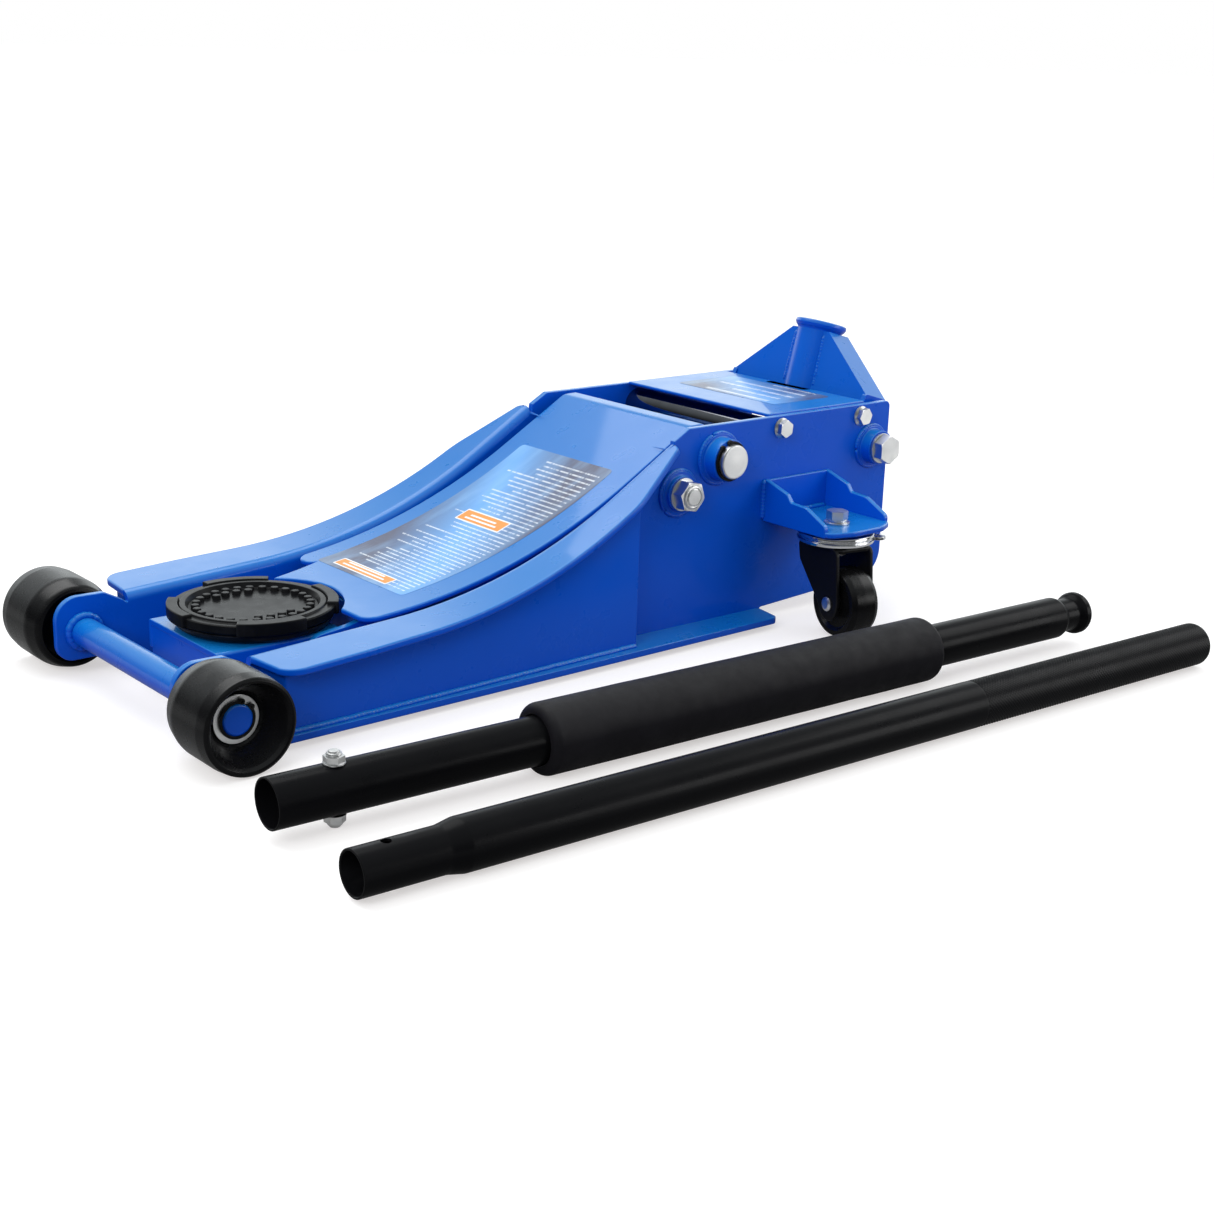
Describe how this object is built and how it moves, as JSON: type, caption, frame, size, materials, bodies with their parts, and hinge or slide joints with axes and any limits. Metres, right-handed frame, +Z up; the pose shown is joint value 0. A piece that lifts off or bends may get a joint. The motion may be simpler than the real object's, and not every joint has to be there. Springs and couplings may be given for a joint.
{
  "type": "hydraulic floor jack",
  "caption": "Low-profile hydraulic trolley jack: hinged lift arm with levelled turning saddle, pump yoke, front rollers, rear swivel casters and a separate handle lying beside it.",
  "frame": {"origin": "centre of the saddle's seat with the arm down, on the jack's centre plane; the ground is 0.066 m below it and the front axle 0.0993 m in front of it, towards -X", "axes": "+X from the saddle end to the handle end, +Y to the jack's left, +Z up"},
  "size_m": [0.8312, 0.6433, 0.2526],
  "materials": {
    "blue_paint": "deep blue gloss enamel",
    "black_paint": "satin black powder coat",
    "polished_steel": "ground and polished steel",
    "zinc": "bright zinc plating",
    "cast_iron": "dark cast body, machined faces",
    "rubber_pad": "moulded studded rubber",
    "wheel_plastic": "satin moulded nylon",
    "foam": "closed-cell foam"
  },
  "bodies": {
    "chassis": {"frame_side_R": "blue_paint", "frame_side_L": "blue_paint", "skirt_R": "blue_paint", "skirt_L": "blue_paint", "front_axle": "blue_paint", "deck_cover": "blue_paint", "cross_tube": "polished_steel", "caster_bracket_R": "blue_paint", "caster_bracket_L": "blue_paint", "pivot_shaft": "zinc", "pivot_clip_R": "black_paint", "pivot_clip_L": "black_paint", "link_bolt_R": "zinc", "link_bolt_L": "zinc", "yoke_bolt_R": "zinc", "yoke_bolt_L": "zinc", "deck_bolt_front_R": "zinc", "deck_bolt_front_L": "zinc", "deck_bolt_rear_R": "zinc", "deck_bolt_rear_L": "zinc", "ram_cylinder": "cast_iron", "pump_block": "cast_iron", "wheel_washer_R": "zinc", "wheel_washer_L": "zinc", "caster_bolt_R": "zinc", "caster_bolt_L": "zinc", "plunger_spring_R": "zinc", "plunger_spring_L": "zinc"},
    "lift_arm": {"arm_cover": "blue_paint", "arm_frame": "blue_paint", "ram_roller": "zinc", "front_pin": "zinc"},
    "saddle_carrier": {"saddle_bracket": "blue_paint", "link_pin": "zinc"},
    "saddle": {"saddle_cup": "black_paint", "saddle_pad": "rubber_pad"},
    "link_rods": {"link_rod_R": "blue_paint", "link_rod_L": "blue_paint"},
    "ram": {"ram_rod": "polished_steel"},
    "handle_yoke": {"yoke_frame": "blue_paint", "handle_socket": "blue_paint", "pump_roller": "zinc"},
    "plungers": {"plunger_R": "polished_steel", "plunger_L": "polished_steel"},
    "release": {"release_valve": "zinc"},
    "wheel_front_right": {"wheel_front_R": "wheel_plastic"},
    "wheel_front_left": {"wheel_front_L": "wheel_plastic"},
    "caster_right": {"caster_race_R": "zinc", "caster_fork_R": "black_paint", "caster_axle_R": "zinc"},
    "caster_left": {"caster_race_L": "zinc", "caster_fork_L": "black_paint", "caster_axle_L": "zinc"},
    "caster_wheel_right": {"caster_wheel_R": "wheel_plastic"},
    "caster_wheel_left": {"caster_wheel_L": "wheel_plastic"},
    "handle_lower": {"handle_lower_tube": "black_paint", "foam_grip": "foam", "handle_bolt": "zinc"},
    "handle_upper": {"handle_upper_tube": "black_paint"}
  },
  "joints": [
    {"name": "lift", "type": "hinge", "parent": "chassis", "child": "lift_arm", "pos_m": [0.4012, 0, 0.0915], "axis": [0, 1, 0], "range_deg": [0, 60]},
    {"name": "saddle_level", "type": "hinge", "parent": "lift_arm", "child": "saddle_carrier", "pos_m": [0.0247, 0, -0.026], "axis": [0, 1, 0], "range_deg": [-60, 0]},
    {"name": "saddle_turn", "type": "hinge", "parent": "saddle_carrier", "child": "saddle", "pos_m": [0, 0, -0.006], "axis": [0, 0, 1], "continuous": true},
    {"name": "link_swing", "type": "hinge", "parent": "chassis", "child": "link_rods", "pos_m": [0.3551, 0, 0.0663], "axis": [0, 1, 0], "range_deg": [0, 60]},
    {"name": "ram_stroke", "type": "slide", "parent": "chassis", "child": "ram", "axis": [-1, 0, 0], "range_m": [0, 0.0621]},
    {"name": "handle_pump", "type": "hinge", "parent": "chassis", "child": "handle_yoke", "pos_m": [0.5956, 0, 0.0806], "axis": [0, 1, 0], "range_deg": [0, 60]},
    {"name": "plunger_stroke", "type": "slide", "parent": "chassis", "child": "plungers", "axis": [-1, 0, 0], "range_m": [0, 0.0261], "deforming": ["plunger_spring_R", "plunger_spring_L"]},
    {"name": "release_turn", "type": "hinge", "parent": "chassis", "child": "release", "pos_m": [0.5607, 0, 0.018], "axis": [1, 0, 0], "range_deg": [0, 180]},
    {"name": "wheel_front_right_roll", "type": "hinge", "parent": "chassis", "child": "wheel_front_right", "pos_m": [-0.0993, -0.142, -0.0285], "axis": [0, 1, 0], "continuous": true},
    {"name": "wheel_front_left_roll", "type": "hinge", "parent": "chassis", "child": "wheel_front_left", "pos_m": [-0.0993, 0.142, -0.0285], "axis": [0, 1, 0], "continuous": true},
    {"name": "caster_right_swivel", "type": "hinge", "parent": "chassis", "child": "caster_right", "pos_m": [0.4937, -0.161, 0.024], "axis": [0, 0, 1], "continuous": true},
    {"name": "caster_left_swivel", "type": "hinge", "parent": "chassis", "child": "caster_left", "pos_m": [0.4937, 0.161, 0.024], "axis": [0, 0, 1], "continuous": true},
    {"name": "caster_right_roll", "type": "hinge", "parent": "caster_right", "child": "caster_wheel_right", "pos_m": [0.49023, -0.1807, -0.0345], "axis": [-0.9848, 0.1736, 0], "continuous": true},
    {"name": "caster_left_roll", "type": "hinge", "parent": "caster_left", "child": "caster_wheel_left", "pos_m": [0.49023, 0.1807, -0.0345], "axis": [0.9848, 0.1736, 0], "continuous": true},
    {"name": "handle_lower_lift", "type": "slide", "parent": "chassis", "child": "handle_lower", "axis": [0, 0, 1], "range_m": [0, 0.3]},
    {"name": "handle_upper_lift", "type": "slide", "parent": "chassis", "child": "handle_upper", "axis": [0, 0, 1], "range_m": [0, 0.3]}
  ],
  "couplings": [
    {"joint": "saddle_level", "follows": "lift", "ratio": -1},
    {"joint": "link_swing", "follows": "lift", "ratio": 1},
    {"joint": "ram_stroke", "follows": "lift", "m_per_rad": 0.0592},
    {"joint": "plunger_stroke", "follows": "handle_pump", "m_per_rad": 0.02483}
  ]
}
